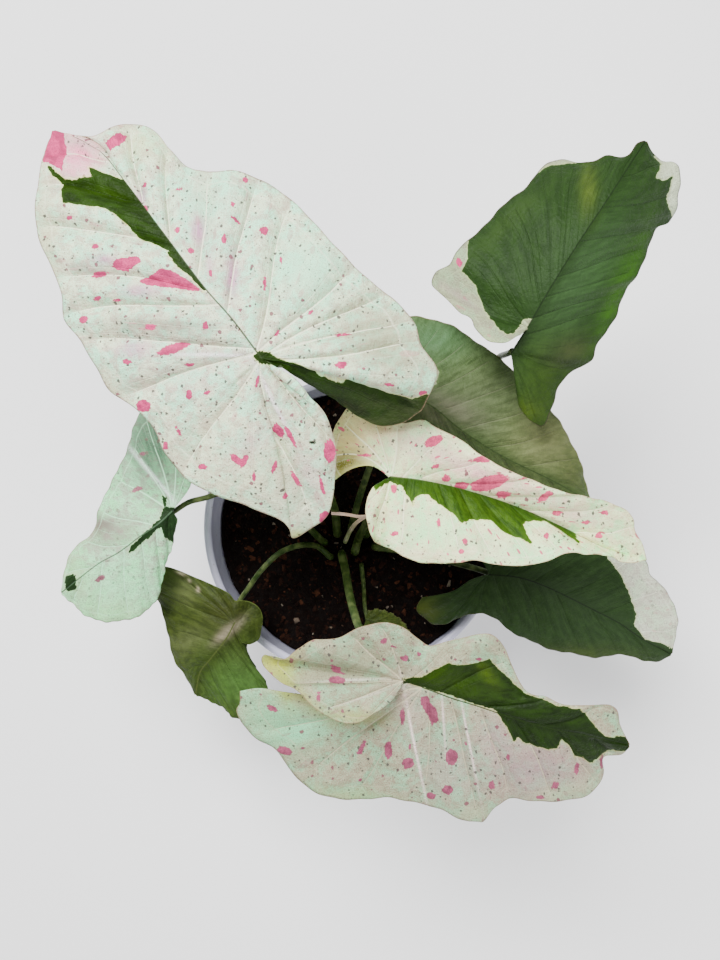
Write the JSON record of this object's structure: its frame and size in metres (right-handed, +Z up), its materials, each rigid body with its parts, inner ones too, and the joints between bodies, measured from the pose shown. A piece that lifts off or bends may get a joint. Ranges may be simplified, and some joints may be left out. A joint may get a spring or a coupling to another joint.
{
  "type": "potted syngonium",
  "caption": "Small variegated arrowhead house plant: arrow-shaped cream, pink and green leaves on thin stalks in a plain round tapered plastic pot filled with bark soil.",
  "frame": {"origin": "centre of the pot's flat foot, on the surface that it rests on", "axes": "+Z up along the pot's axis, +X to the picture's right, +Y to the picture's top, away from the viewer"},
  "size_m": [0.2765, 0.276, 0.2525],
  "materials": {
    "pot": "smooth pale lavender white, satin",
    "soil": "dark, damp, crumbled bark and peat",
    "cream_leaf": "cream and mint blade with pink patches and green sectors, satin",
    "green_leaf": "mid to dark green blade with darker veins, satin",
    "stalk": "green leaf stalk, smooth",
    "furled": "pale pink rolled young leaf, smooth"
  },
  "bodies": {
    "root": {"pot": "pot", "soil": "soil", "furled_leaf": "furled", "blade_top_left": "cream_leaf", "blade_top_right": "green_leaf", "blade_back": "green_leaf", "blade_centre": "cream_leaf", "blade_front": "cream_leaf", "blade_left": "cream_leaf", "blade_low_left": "green_leaf", "blade_low_right": "green_leaf", "blade_small": "green_leaf", "petiole_top_left": "stalk", "petiole_top_right": "stalk", "petiole_back": "stalk", "petiole_centre": "stalk", "petiole_front": "stalk", "petiole_left": "stalk", "petiole_low_left": "stalk", "petiole_low_right": "stalk", "petiole_small": "stalk"}
  },
  "joints": []
}
